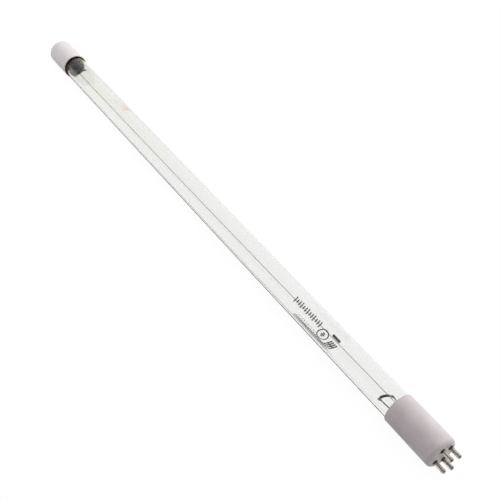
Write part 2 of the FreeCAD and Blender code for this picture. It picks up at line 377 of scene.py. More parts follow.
def addBump(tree, shader, height, distance, strength):
    bump = addNode(tree, "ShaderNodeBump", Strength=strength, Distance=distance)
    tree.links.new(height, bump.inputs["Height"])
    tree.links.new(bump.outputs["Normal"], shader.inputs["Normal"])


# Quartz

quartzLook = {
    "clearColour": (0.926, 0.929, 0.920, 1),
    "warmColour": (0.921, 0.924, 0.898, 1),     # the far end of the glass is faintly yellow
    "warmFrom": 0.02,
    "warmTo": -0.17,
    "stainColour": (0.86, 0.60, 0.36, 1),
    # each with its place along the lamp, angle about it, size and share
    "stains": (
        (-0.1100, 92.0, 0.0046, 0.85), (-0.1145, 98.0, 0.0030, 0.5), (-0.1215, 103.0, 0.0042, 0.3),
        (-0.0795, 80.0, 0.0018, 0.5),
    ),
    "roughness": (0.006, 0.027),
    "ior": 1.458,
    "waveLength": 0.03,
    "waveHeight": 0.00003,
    "waveStrength": 0.4,
}


def makeQuartz():
    look = quartzLook
    material, tree, shader = startMaterial("clearQuartz")
    place, axes = placeAxes(tree)
    warm = fallingRamp(tree, axes[0], look["warmTo"], look["warmFrom"])
    colour = mixColour(tree, warm, look["clearColour"], look["warmColour"])
    mottle = addMottle(tree, 0.0016, 0.0004, 0.5)
    for x, turn, size, share in look["stains"]:
        near = spotMask(tree, place, mottle, x, turn, size)
        colour = mixColour(tree, mathNode(tree, "MULTIPLY", near, share), colour, look["stainColour"])
    tree.links.new(colour, shader.inputs["Base Color"])
    shader.inputs["Transmission Weight"].default_value = 1.0
    shader.inputs["IOR"].default_value = look["ior"]
    tree.links.new(rangeOf(tree, mottle["Mask"], *look["roughness"]), shader.inputs["Roughness"])
    waves = addMottle(tree, look["waveLength"], look["waveLength"] / 3, 0.1)
    addBump(tree, shader, waves["Height"], look["waveHeight"], look["waveStrength"])
    return material


# Ceramic

porcelainLook = {
    "baseGlaze": (0.800, 0.716, 0.728, 1),
    "baseShade": (0.740, 0.655, 0.662, 1),
    "capGlaze": (0.800, 0.748, 0.752, 1),
    "capShade": (0.750, 0.700, 0.700, 1),
    "soilAndShadeColour": (0.42, 0.33, 0.27, 1),
    "boreShadeColour": (0.030, 0.017, 0.012, 1),     # painted shade: the deep bore is painted near black where it lies in shadow
    "roughness": (0.42, 0.58),
    "coat": 0.12,
    "coatRoughness": 0.22,
    "speckScale": 900.0,
    "speckShare": 0.28,
    "speckPit": 0.6,
    "pinShade": (0.0011, 0.0022),     # distances from a contact's middle at which its painted shade is full and gone
    "pinShadeShare": 0.75,
    "mouthDarkening": 0.0007,
    "boreEdge": (0.00855, 0.00875),     # radii at which the painted shade of the bore is full and gone
    "boreDepth": (0.0002, 0.0012),      # depths behind the mouth at which it starts and is full
    "faceDepth": 0.001,                 # the end face and its holes stay free of the painted bore shade about this depth
    "faceFade": (0.0012, 0.0018),
}


def makePorcelain(name, face, mouth, pins, glaze, shade):
    look = porcelainLook
    material, tree, shader = startMaterial(name)
    place, axes = placeAxes(tree)
    broad = addMottle(tree, 0.007, 0.0005, 0.3)
    fine = addMottle(tree, 0.0009, 0.00016, 0.5)
    colour = mixColour(tree, ramp(tree, broad["Mask"], 0.35, 0.7), glaze, shade)
    specks = addNode(tree, "ShaderNodeTexVoronoi", Scale=look["speckScale"])
    tree.links.new(place, specks.inputs["Vector"])
    speck = fallingRamp(tree, specks.outputs["Distance"], 0.05, 0.11)
    speckSoil = mathNode(tree, "MULTIPLY", speck, look["speckShare"])
    colour = mixColour(tree, speckSoil, colour, look["soilAndShadeColour"])
    # soil along the mouth, and painted shade on the end face around the root of each contact
    band = addBand(tree, mouth * mm, look["mouthDarkening"])
    soilAndShade = mathNode(tree, "MULTIPLY", band, rangeOf(tree, fine["Mask"], 0.1, 0.75), clamp=True)
    for y, z in pins:
        near = fallingRamp(tree, distanceAcross(tree, axes, y, z), *look["pinShade"])
        soilAndShade = mathNode(tree, "MAXIMUM", soilAndShade, mathNode(tree, "MULTIPLY", near, look["pinShadeShare"]))
    colour = mixColour(tree, soilAndShade, colour, look["soilAndShadeColour"])
    # painted shade deep in the bore
    shadeFreePlace = face * mm + math.copysign(look["faceDepth"], mouth - face)
    bore = fallingRamp(tree, distanceAcross(tree, axes, 0, 0), *look["boreEdge"])
    deep = ramp(tree, distanceTo(tree, axes[0], mouth * mm), *look["boreDepth"])
    behind = ramp(tree, distanceTo(tree, axes[0], shadeFreePlace), *look["faceFade"])
    bore = mathNode(tree, "MULTIPLY", mathNode(tree, "MULTIPLY", bore, deep), behind)
    colour = mixColour(tree, bore, colour, look["boreShadeColour"])
    tree.links.new(colour, shader.inputs["Base Color"])
    tree.links.new(rangeOf(tree, broad["Height"], *look["roughness"]), shader.inputs["Roughness"])
    shader.inputs["Coat Weight"].default_value = look["coat"]
    shader.inputs["Coat Roughness"].default_value = look["coatRoughness"]
    height = mathNode(tree, "SUBTRACT", fine["Height"], mathNode(tree, "MULTIPLY", speck, look["speckPit"]))
    addBump(tree, shader, height, 0.00003, 0.6)
    return material


# Metals, cement and ink

contactLook = {
    "bright": (0.64, 0.59, 0.54, 1), "dull": (0.30, 0.265, 0.235, 1), "soilAndShade": (0.045, 0.035, 0.03, 1),
    # the root band is painted shade where the contact stands out of the end face; the tip band only makes
    # the contact darker towards its tip
    "soilAndShadeBands": ((0.2112, 0.0024, 1.0), (0.2183, 0.0017, 0.75)),     # place, width, share at root and tip
    "metallic": 1.0, "roughness": (0.22, 0.42), "patch": 0.0014, "scratch": 0.00018, "stretch": 16.0,
    "tarnishFrom": 0.46, "bump": 0.00002,
}
wireLook = {
    "bright": (0.13, 0.125, 0.115, 1), "dull": (0.055, 0.050, 0.046, 1),
    "metallic": 0.6, "roughness": (0.4, 0.65), "patch": 0.003, "scratch": 0.0001, "stretch": 30.0,
    "tarnishFrom": 0.42, "bump": 0.00001,
}
postLook = {
    "bright": (0.17, 0.16, 0.15, 1), "dull": (0.06, 0.055, 0.05, 1),
    "metallic": 0.8, "roughness": (0.3, 0.55), "patch": 0.0015, "scratch": 0.00012, "stretch": 12.0,
    "tarnishFrom": 0.40, "bump": 0.00001,
}
coilLook = {
    "bright": (0.050, 0.045, 0.045, 1), "dull": (0.016, 0.014, 0.014, 1),
    "metallic": 0.55, "roughness": (0.5, 0.8), "patch": 0.0008, "scratch": 0.0001, "stretch": 4.0,
    "tarnishFrom": 0.38, "bump": 0.00002,
}
foilLook = {
    "bright": (0.52, 0.50, 0.48, 1), "dull": (0.30, 0.28, 0.27, 1),
    "metallic": 0.9, "roughness": (0.35, 0.55), "patch": 0.001, "scratch": 0.0001, "stretch": 10.0,
    "tarnishFrom": 0.45, "bump": 0.00001,
}
cementLook = {
    "bright": (0.052, 0.026, 0.020, 1), "dull": (0.022, 0.012, 0.010, 1),
    "metallic": 0.0, "roughness": (0.8, 0.95), "patch": 0.0007, "scratch": 0.0003, "stretch": 1.0,
    "tarnishFrom": 0.40, "bump": 0.00012,
}
inkLook = {
    "bright": (0.016, 0.013, 0.013, 1), "dull": (0.060, 0.052, 0.05, 1),
    "metallic": 0.0, "roughness": (0.55, 0.75), "patch": 0.0006, "scratch": 0.0003, "stretch": 1.0,
    "tarnishFrom": 0.56, "bump": 0.000008,
}


def makeSurface(name, look):
    material, tree, shader = startMaterial(name)
    mottle = addMottle(tree, look["patch"], look["patch"] * 0.15, 0.35)
    scratches = addScratches(tree, look["scratch"], look["stretch"])
    tarnish = ramp(tree, mottle["Mask"], look["tarnishFrom"], look["tarnishFrom"] + 0.25)
    colour = mixColour(tree, tarnish, look["bright"], look["dull"])
    # dark bands, only on the contacts: painted shade at the root, and darker towards the tip
    for place, width, share in look.get("soilAndShadeBands", ()):
        ragged = rangeOf(tree, mottle["Height"], 0.6, 1.3)
        broken = mathNode(tree, "MULTIPLY", addBand(tree, place, width), ragged)
        soilAndShade = mathNode(tree, "MULTIPLY", ramp(tree, broken, 0.1, 0.9), share)
        colour = mixColour(tree, soilAndShade, colour, look["soilAndShade"])
    tree.links.new(colour, shader.inputs["Base Color"])
    shader.inputs["Metallic"].default_value = look["metallic"]
    rough = rangeOf(tree, mathNode(tree, "MAXIMUM", scratches, tarnish), *look["roughness"])
    tree.links.new(rough, shader.inputs["Roughness"])
    height = mathNode(tree, "SUBTRACT", mottle["Height"], mathNode(tree, "MULTIPLY", scratches, 0.5))
    addBump(tree, shader, height, look["bump"], 0.6)
    return material


# Thin films on the glass: the rubbed part of the print, and at the far mouth a golden painted highlight and
# a dark film.
# A spot has its place along the lamp, angle about it and size. An area has its middle and half size
# along X, Y and Z, and fades at its edge.

rubbedLook = {
    "dark": (0.020, 0.017, 0.016, 1), "light": (0.09, 0.08, 0.075, 1), "patch": 0.0035, "grain": 0.0007,
    "streak": 0.0007, "stretch": 6.0, "cover": (0.34, 0.52), "area": ((0.1135, 0.0175), (-0.0018, 0.0028)),
}
# painted highlight: a golden lit patch on the glass at the far mouth, where the edge of the cement catches
# the light
paintedLitLook = {
    "dark": (0.22, 0.105, 0.025, 1), "light": (0.66, 0.43, 0.16, 1), "patch": 0.0012, "grain": 0.0004,
    "streak": 0.0008, "stretch": 1.0, "cover": (0.20, 0.34), "spot": (-0.1868, 81.0, 0.0028),
}
# a dark brown film on the glass just inside the far mouth, which darkens the left and lower part of the
# opening
soilAndShadeLook = {
    "dark": (0.048, 0.026, 0.019, 1), "light": (0.12, 0.078, 0.058, 1), "patch": 0.0012, "grain": 0.0004,
    "streak": 0.0008, "stretch": 1.0, "cover": (0.24, 0.40),
    "area": ((-0.1905, 0.0044), (-0.006, 0.010), (0.003, 0.0105)),
}


def makeFilm(name, look):
    material, tree, shader = startMaterial(name)
    place, axes = placeAxes(tree)
    streaks = addScratches(tree, look["streak"], look["stretch"])
    mottle = addMottle(tree, look["patch"], look["grain"], 0.5)
    cover = ramp(tree, mottle["Height"], *look["cover"])
    cover = mathNode(tree, "MULTIPLY", cover, rangeOf(tree, streaks, 0.55, 1.0))
    if "spot" in look:
        cover = mathNode(tree, "MULTIPLY", cover, spotMask(tree, place, mottle, *look["spot"]))
    for axis, (middle, half) in enumerate(look.get("area", ())):
        ragged = mathNode(tree, "MULTIPLY", mottle["Mask"], half * 0.5)
        away = mathNode(tree, "ADD", distanceTo(tree, axes[axis], middle), ragged)
        cover = mathNode(tree, "MULTIPLY", cover, fallingRamp(tree, away, half * 0.8, half * 1.22))
    tree.links.new(cover, shader.inputs["Alpha"])
    tree.links.new(mixColour(tree, mottle["Mask"], look["dark"], look["light"]), shader.inputs["Base Color"])
    tree.links.new(rangeOf(tree, mottle["Mask"], 0.55, 0.8), shader.inputs["Roughness"])
    return material


quartz = makeQuartz()
contactPlaces = ((-3.175, 3.96), (3.175, 3.96), (-3.175, -3.96), (3.175, -3.96))
basePorcelain = makePorcelain(
    "basePorcelain", lampValues["baseFace"], lampValues["baseMouth"], contactPlaces,
    porcelainLook["baseGlaze"], porcelainLook["baseShade"],
)
capPorcelain = makePorcelain(
    "capPorcelain", lampValues["capBack"], lampValues["capMouth"], (),
    porcelainLook["capGlaze"], porcelainLook["capShade"],
)
contactMetal = makeSurface("nickelContact", contactLook)
wireMetal = makeSurface("returnWireMetal", wireLook)
postMetal = makeSurface("postWireMetal", postLook)
coilMetal = makeSurface("coatedCoil", coilLook)
foilMetal = makeSurface("sealFoil", foilLook)
cementStone = makeSurface("darkCement", cementLook)
printInk = makeSurface("wornInk", inkLook)
rubbedInk = makeFilm("rubbedInk", rubbedLook)
paintedLitFilm = makeFilm("paintedLitFilm", paintedLitLook)
soilAndShadeFilm = makeFilm("soilAndShadeFilm", soilAndShadeLook)
print("materials made")


# Glass tube with a pinched seal at each end

tubeValues = {
    "bore": 7.0,
    "segments": 112,
    "ringsAlong": 36,
    "ringsEachStep": 5,
    # depth behind the shell mouth, half width, half height, squareness of the section
    "outside": (
        (8.0, 8.0, 8.0, 2.0), (10.8, 7.55, 6.0, 2.1), (13.0, 6.9, 3.6, 2.5), (14.8, 6.45, 2.0, 3.2),
        (16.2, 6.2, 1.5, 4.5), (20.6, 6.2, 1.5, 4.5), (20.95, 5.95, 1.25, 4.0), (21.0, 5.6, 1.0, 3.6),
    ),
    "inside": (
        (8.0, 7.0, 7.0, 2.0), (10.2, 6.5, 5.2, 2.1), (12.2, 5.6, 2.7, 2.4), (13.4, 4.9, 1.2, 2.8),
        (13.8, 4.3, 0.6, 3.0),
    ),
}


def endFrame(isNear):
    mouth = lampValues["baseMouth"] if isNear else lampValues["capMouth"]
    outward = 1.0 if isNear else -1.0
    turn = math.radians(lampValues["sealTurn"])

    def at(depth, side=0.0, lift=0.0):
        y = side * math.cos(turn) - lift * math.sin(turn)
        z = side * math.sin(turn) + lift * math.cos(turn)
        return onAxis(mouth + outward * depth, y, z)

    return at


nearAt = endFrame(True)
farAt = endFrame(False)


def sectionAt(steps, depth):
    for first, last in zip(steps[:-1], steps[1:]):
        if depth <= last[0]:
            part = (depth - first[0]) / (last[0] - first[0])
            return [a + (b - a) * part for a, b in zip(first, last)]
    return list(steps[-1])


def ovalRing(at, depth, halfWidth, halfHeight, squareness, segments):
    ring = []
    for i in range(segments):
        turn = 2 * math.pi * i / segments
        c, s = math.cos(turn), math.sin(turn)
        reach = (abs(c) ** squareness + abs(s) ** squareness) ** (-1.0 / squareness)
        ring.append(at(depth, halfWidth * reach * c, halfHeight * reach * s))
    return ring


def glassSkin(steps, plainRadius):
    # One closed skin from the far seal to the near seal
    v = tubeValues
    segments = v["segments"]
    depths = []
    for first, last in zip(steps[:-1], steps[1:]):
        for k in range(v["ringsEachStep"]):
            depths.append(first[0] + (last[0] - first[0]) * k / v["ringsEachStep"])
    depths.append(steps[-1][0])
    rings = []
    for depth in reversed(depths):
        _, width, height, square = sectionAt(steps, depth)
        rings.append(ovalRing(farAt, depth, width, height, square, segments))
    farStart = lampValues["capMouth"] - lampValues["baseMouth"] - steps[0][0]
    nearStart = steps[0][0]
    for k in range(1, v["ringsAlong"]):
        depth = farStart + (nearStart - farStart) * k / v["ringsAlong"]
        rings.append(ovalRing(nearAt, depth, plainRadius, plainRadius, 2.0, segments))
    for depth in depths:
        _, width, height, square = sectionAt(steps, depth)
        rings.append(ovalRing(nearAt, depth, width, height, square, segments))
    verts = [sum(rings[0], Vector()) / segments]
    faces, order = [], [[0]]
    for ring in rings:
        order.append(list(range(len(verts), len(verts) + segments)))
        verts += ring
    order.append([len(verts)])
    verts.append(sum(rings[-1], Vector()) / segments)
    for first, second in zip(order[:-1], order[1:]):
        faces += bridge(first, second)
    return verts, faces


verts, faces = glassSkin(tubeValues["outside"], lampValues["tubeRadius"])
hollowFrom = len(verts)
joinShape(verts, faces, *glassSkin(tubeValues["inside"], tubeValues["bore"]))
makePiece("quartzTube", verts, faces, quartz, ("quartz_tube",), 40, hollowFrom)
print("glass made")


# Ceramic shells

shellValues = {
    "radius": 9.0,
    "bore": 8.5,
    "plate": 3.0,
    "endRounding": 2.2,
    "lipRounding": 0.16,
    "plateRounding": 0.4,
    "faceRings": (2.2, 4.4),
    "ringsAlong": 12,
    "segments": 144,
    "recessRadius": 1.62,
    "recessDepth": 0.45,
    "recessStep": (0.6, 0.96),     # share of the recess's depth and radius where its wall turns steep
    "holeRadius": 1.19,
    "cutterRoom": 1.0,
    "sharpAngle": 32,
}


def shellProfile(face, mouth):
    v = shellValues
    inwards = 1.0 if mouth > face else -1.0
    plate = face + inwards * v["plate"]
    profile = [(face, 0.0)] + [(face, radius) for radius in v["faceRings"]]
    profile += rounded((face, v["radius"]), (face, 0.0), (mouth, v["radius"]), v["endRounding"], 14)
    start = face + inwards * v["endRounding"]
    for k in range(1, v["ringsAlong"]):
        profile.append((start + (mouth - start) * k / v["ringsAlong"], v["radius"]))
    profile += rounded((mouth, v["radius"]), (face, v["radius"]), (mouth, v["bore"]), v["lipRounding"], 4)
    profile += rounded((mouth, v["bore"]), (mouth, v["radius"]), (face, v["bore"]), v["lipRounding"], 4)
    profile += rounded((plate, v["bore"]), (mouth, v["bore"]), (plate, 0.0), v["plateRounding"], 4)
    profile.append((plate, 0.0))
    return profile


def cutHoles(piece, cutters):
    for cutter in cutters:
        step = piece.modifiers.new("hole", "BOOLEAN")
        step.operation = "DIFFERENCE"
        step.solver = "EXACT"
        step.object = cutter
    bpy.context.view_layer.update()
    shape = bpy.data.meshes.new_from_object(piece.evaluated_get(bpy.context.evaluated_depsgraph_get()))
    piece.modifiers.clear()
    piece.data = shape
    for cutter in cutters:
        bpy.data.objects.remove(cutter)
    shape.polygons.foreach_set("use_smooth", [True] * len(shape.polygons))
    shape.set_sharp_from_angle(angle=math.radians(shellValues["sharpAngle"]))


def makeCutter(y, z):
    v = shellValues
    face = lampValues["baseFace"]
    inner = face - v["plate"] - v["cutterRoom"]
    outer = face + v["cutterRoom"]
    depthShare, radiusShare = v["recessStep"]
    profile = [
        (inner, 0.0), (inner, v["holeRadius"]), (face - v["recessDepth"], v["holeRadius"]),
        (face - depthShare * v["recessDepth"], radiusShare * v["recessRadius"]), (face, v["recessRadius"]),
        (outer, v["recessRadius"]), (outer, 0.0),
    ]
    verts, faces = lathe(profile, 40, y, z)
    mesh = bpy.data.meshes.new("cutter")
    fillMesh(mesh, verts, faces)
    return addObject("cutter", mesh)


def makeShell(name, face, mouth, material, node):
    verts, faces = lathe(shellProfile(face, mouth), shellValues["segments"])
    return makePiece(name, verts, faces, material, (node,), shellValues["sharpAngle"])


baseShell = makeShell(
    "pinBaseShell", lampValues["baseFace"], lampValues["baseMouth"], basePorcelain, "pin_base_shell"
)
cutHoles(baseShell, [makeCutter(y, z) for y, z in contactPlaces])
makeShell("endCapShell", lampValues["capBack"], lampValues["capMouth"], capPorcelain, "end_cap_shell")
print("shells made")


# Contacts

contactValues = {
    "radius": 1.175,
    "tipRounding": 0.85,
    "shankRadius": 1.0,
    "flangeRadius": 1.75,
    "flangeFrom": 207.3,
    "flangeRounding": 0.15,
    "plateInner": 208.5,
    "rootDepth": 0.35,
    "rootRounding": 0.1,
    "dimple": ((0.03, 0.22), (0.09, 0.12), (0.1, 0.0)),     # depth and radius of the pressed-in end
    "ringsAlong": 6,
    "segments": 48,
}


def makeContact(number, y, z):
    v = contactValues
    tip = lampValues["pinTip"]
    face = lampValues["baseFace"]
    root = face - v["rootDepth"]
    back, plate, flange = v["flangeFrom"], v["plateInner"], v["flangeRadius"]
    profile = [(back, 0.0)]
    profile += rounded((back, flange), (back, 0.0), (plate, flange), v["flangeRounding"], 3)
    profile += [(plate, flange), (plate, v["shankRadius"]), (root, v["shankRadius"])]
    profile += rounded((root, v["radius"]), (root, 0.0), (tip, v["radius"]), v["rootRounding"], 3)
    for k in range(1, v["ringsAlong"]):
        profile.append((root + (tip - v["tipRounding"] - root) * k / v["ringsAlong"], v["radius"]))
    profile += rounded((tip, v["radius"]), (face, v["radius"]), (tip, 0.0), v["tipRounding"], 10)
    profile += [(tip - depth, radius) for depth, radius in v["dimple"]]
    verts, faces = lathe(profile, v["segments"], y, z)
    node = "contact_pin_%d" % number
    makePiece("contactPin%d" % number, verts, faces, contactMetal, (node,), 38)


for number, (y, z) in enumerate(contactPlaces, 1):
    makeContact(number, y, z)
print("contacts made")


# Filament coils

coilValues = {
    "leg": 0.7,
    "tail": 0.55,
    "wireRadius": 0.12,
    "coilRadius": 0.56,
    "turns": 19,
    "stepsEachTurn": 18,
    "startRadius": 0.15,       # share of the radius that a coil starts with, and how fast it grows
    "growth": 30,
    "sides": 7,
}
# Each coil hangs between two ends, given across the lamp; reach is how far they stand out of the mouth
coilPlaces = {
    "near": {"at": nearAt, "left": -4.9, "right": 2.7, "lift": -0.3, "reach": 8.1, "slant": 1.4, "bow": 0.9},
    "far": {"at": farAt, "left": -5.2, "right": 5.2, "lift": 0.0, "reach": 6.8, "slant": -0.9, "bow": 0.5},
}


def makeCoil(name, place, node):
    v = coilValues
    left, right = place["left"], place["right"]
    middle, half = (left + right) / 2, (right - left) / 2

    def spine(side):
        part = (side - middle) / half
        bow = place["bow"] * (1 - part ** 2) if abs(part) < 1 else 0.0
        return place["at"](-place["reach"] + part * place["slant"] / 2 - bow, side, place["lift"])

    points = [spine(left - v["tail"]), spine(left)]
    coilFrom, coilTo = left + v["leg"], right - v["leg"]
    small = v["startRadius"]
    count = v["turns"] * v["stepsEachTurn"]
    up = (place["at"](0, 0, 1) - place["at"](0, 0, 0)).normalized()
    for k in range(count + 1):
        part = k / count
        side = coilFrom + (coilTo - coilFrom) * part
        heading = (spine(side + 0.05) - spine(side - 0.05)).normalized()
        out = heading.cross(up)
        turn = 2 * math.pi * v["turns"] * part - math.pi / 2
        grown = min(1.0, part * v["growth"], (1 - part) * v["growth"])
        radius = v["coilRadius"] * (small + (1 - small) * grown) * mm
        points.append(spine(side) + (up * math.sin(turn) + out * math.cos(turn)) * radius)
    points += [spine(right), spine(right + v["tail"])]
    verts, faces = sweep(points, v["wireRadius"], v["sides"])
    makePiece(name, verts, faces, coilMetal, (node,), 60)


makeCoil("nearCoil", coilPlaces["near"], "near_filament")
makeCoil("farCoil", coilPlaces["far"], "far_filament")
print("coils made")


# Posts: round wires whose flattened tips are folded over the tails of a coil

postValues = {
    "radius": 0.32,
    "footDepth": 16.0,
    "footSide": 3.0,
    "clampLength": 1.7,
    "clampWidth": 1.15,
    "clampThickness": 0.26,
    "clampGap": 0.13,
    "clampShift": 0.1,
    "clampSteps": 8,
    "lipLengths": (0.35, 0.45),      # shares of the clamp's length where its short side slopes and ends
    "tipLength": 0.9,
    "edgeShare": (0.8, 0.9),         # share of the height left at the ends of the short and long sides
    "kneeRoom": 1.2,
    "kneeSide": 0.97,
    "bend": 1.4,
    "sides": 14,
}


def makePost(name, place, sideSign, node):
    v = postValues
    at = place["at"]
    side = (place["left"] if sideSign < 0 else place["right"]) + sideSign * v["clampShift"]
    reach = place["reach"] - sideSign * place["slant"] / 2
    lift = place["lift"]
    length, steps = v["clampLength"], v["clampSteps"]
    inner, outer = v["clampGap"], v["clampGap"] + v["clampThickness"]
    lipFrom, lipTo = v["lipLengths"]
    lipEdge, tipEdge = v["edgeShare"]
    # the folded tip, as one closed strip around the wire
    outline = []
    for k in range(steps + 1):
        turn = math.pi / 2 + math.pi * k / steps
        outline.append((math.cos(turn) * outer, math.sin(turn) * outer))
    outline += [(lipFrom * length, -outer), (lipTo * length, -outer * lipEdge), (lipTo * length, -inner)]
    for k in range(steps + 1):
        turn = 3 * math.pi / 2 - math.pi * k / steps
        outline.append((math.cos(turn) * inner, math.sin(turn) * inner))
    outline += [(length, inner), (length, outer * tipEdge), (v["tipLength"] * length, outer)]
    verts, faces = [], []
    for edge in (-0.5, 0.5):
        for depth, rise in outline:
            verts.append(at(-reach + depth, side + edge * v["clampWidth"], lift + rise))
    count = len(outline)
    for i in range(count):
        j = (i + 1) % count
        faces.append((i, j, j + count, i + count))
    faces.append(tuple(range(count)))
    faces.append(tuple(reversed(range(count, 2 * count))))
    middle = lift + 0.5 * (inner + outer)
    foot = at(v["footDepth"], sideSign * v["footSide"])
    knee = at(-reach + length + v["kneeRoom"], side * v["kneeSide"], middle)
    top = at(-reach + 0.5 * length, side, middle)
    path = smoothPath([foot, knee, top], v["bend"])
    radii = [v["radius"]] * len(path)
    radii[-1] = 0.5 * v["clampThickness"]
    joinShape(verts, faces, *sweep(path, radii, v["sides"]))
    makePiece(name, verts, faces, postMetal, (node,), 40)


for number, sideSign in ((1, -1), (2, 1)):
    makePost("nearPost%d" % number, coilPlaces["near"], sideSign, "near_post_%d" % number)
    makePost("farPost%d" % number, coilPlaces["far"], sideSign, "far_post_%d" % number)
print("posts made")


# Return wires and leads

wireValues = {
    "returnRadius": 0.17,
    "seat": 8.31,
    "spreadNearBase": 61.0,    # degrees away from straight down
    "spreadNearCap": 42.0,
    "slack": 6.0,              # degrees that the middle of each wire has slipped down around the glass
    "partsAlong": 12,
    "bend": 1.0,
    "leadBend": 0.9,
    "turnRoom": 1.7,
    "leadRoom": 2.6,
    "foilPoint": 19.0,
    "leadRadius": 0.3,
    "leadSpacing": 6.0,
    "sides": 12,
    "contactBack": 207.3,
}


def makeReturnWire(number, sideSign, place):
    v = wireValues
    side = sideSign * v["leadSpacing"] / 2
    depth = lampValues["sealEnd"] + v["turnRoom"]
    farX = lampValues["capMouth"] - depth
    nearX = lampValues["baseMouth"] + lampValues["sealEnd"] + v["leadRoom"]
    farTurn = 270 + sideSign * v["spreadNearCap"]
    nearTurn = 270 + sideSign * v["spreadNearBase"]
    corners = [farAt(v["foilPoint"], side), farAt(depth, side), polar(farX, v["seat"], farTurn)]
    for k in range(1, v["partsAlong"]):
        part = k / v["partsAlong"]
        turn = farTurn + (nearTurn - farTurn) * part - sideSign * v["slack"] * math.sin(math.pi * part)
        corners.append(polar(farX + (nearX - farX) * part, v["seat"], turn))
    corners += [polar(nearX, v["seat"], nearTurn), onAxis(v["contactBack"], place[0], place[1])]
    verts, faces = sweep(smoothPath(corners, v["bend"]), v["returnRadius"], v["sides"])
    node = "return_wire_%d" % number
    makePiece("returnWire%d" % number, verts, faces, wireMetal, (node,), 60)


def makeLead(number, sideSign, place):
    v = wireValues
    side = sideSign * v["leadSpacing"] / 2
    corners = [
        nearAt(v["foilPoint"], side), nearAt(lampValues["sealEnd"] + v["leadRoom"], side),
        onAxis(v["contactBack"], place[0], place[1]),
    ]
    verts, faces = sweep(smoothPath(corners, v["leadBend"]), v["leadRadius"], v["sides"])
    makePiece("nearLead%d" % number, verts, faces, wireMetal, ("near_lead_%d" % number,), 60)


makeReturnWire(1, -1, contactPlaces[2])
makeReturnWire(2, 1, contactPlaces[3])
makeLead(1, -1, contactPlaces[0])
makeLead(2, 1, contactPlaces[1])
print("wires made")


# Nodes that keep their own shape

keptNodes = {
    "base_cement": cementStone,
    "cap_cement": cementStone,
    "near_foil_1": foilMetal,
    "near_foil_2": foilMetal,
    "far_foil_1": foilMetal,
    "far_foil_2": foilMetal,
}
for name, material in keptNodes.items():
    nodes[name].data.materials.clear()
    nodes[name].data.materials.append(material)


# Worn print on the under side of the glass, seen through it: plain bars, a ring and a hatched patch

printValues = {
    "seat": 8.006,
    "thickness": 0.018,
    "rowTurn": -35.0,          # degrees about the axis, 0 at +Y
    "rowFrom": 89.4,
    "rowTo": 113.8,
    "rowMarks": 13,
    "rowHeights": (4.2, 2.6, 3.4),
    "rowStroke": 0.82,
    "ringPlace": (118.5, -58.0),
    "ringRadius": 3.45,
    "ringStroke": 0.75,
    "ringSteps": 48,
    "dotBars": ((-1.1, 0.8), (0.0, 1.35), (1.1, 0.8)),     # place across the ring and half length
    "dotStroke": 0.85,
    "barPlace": (122.8, 129.0, -26.0),
    "barWidth": 1.75,
    "hatchPlace": (126.6, -67.0),
    "hatchShifts": (-2.1, -0.7, 0.7, 2.1),
    "hatchSlope": 0.7,
    "hatchHeight": 2.9,
    "hatchWidth": 2.6,
    "hatchStroke": 0.9,
    # rows below, each with x from and to, angle and height
    "lowRows": (
        (99.5, 115.5, -76.0, 0.9), (99.0, 126.5, -88.0, 1.1), (98.0, 128.0, -97.0, 1.4),
        (99.0, 129.0, -106.0, 1.6),
    ),
    "lowPitch": 1.5,
    "lowStroke": 0.62,
}


def inkStroke(path, width, closed=False):
    # A thin strip that hugs the glass. path is a list of (x, arc) in mm, arc measured around the tube
    v = printValues
    count = len(path)
    left, right = [], []
    for i, point in enumerate(path):
        before = path[(i - 1) % count] if closed or i else path[0]
        after = path[(i + 1) % count] if closed or i < count - 1 else path[-1]
        run = Vector((after[0] - before[0], after[1] - before[1])).normalized()
        across = Vector((-run.y, run.x)) * width / 2
        left.append((point[0] + across.x, point[1] + across.y))
        right.append((point[0] - across.x, point[1] - across.y))
    verts, faces = [], []
    for lift in (0.0, v["thickness"]):
        for line in (left, right):
            for x, arc in line:
                verts.append(polar(x, v["seat"] + lift, math.degrees(arc / v["seat"])))
    lowLeft, lowRight, topLeft, topRight = (range(k * count, (k + 1) * count) for k in range(4))
    for i in range(count if closed else count - 1):
        j = (i + 1) % count
        for a, b in ((lowLeft, lowRight), (lowRight, topRight), (topRight, topLeft), (topLeft, lowLeft)):
            faces.append((a[i], a[j], b[j], b[i]))
    if not closed:
        faces.append((lowLeft[0], lowRight[0], topRight[0], topLeft[0]))
        faces.append((lowLeft[-1], topLeft[-1], topRight[-1], lowRight[-1]))
    return verts, faces


def straight(x0, arc0, x1, arc1, steps=8):
    return [(x0 + (x1 - x0) * k / steps, arc0 + (arc1 - arc0) * k / steps) for k in range(steps + 1)]


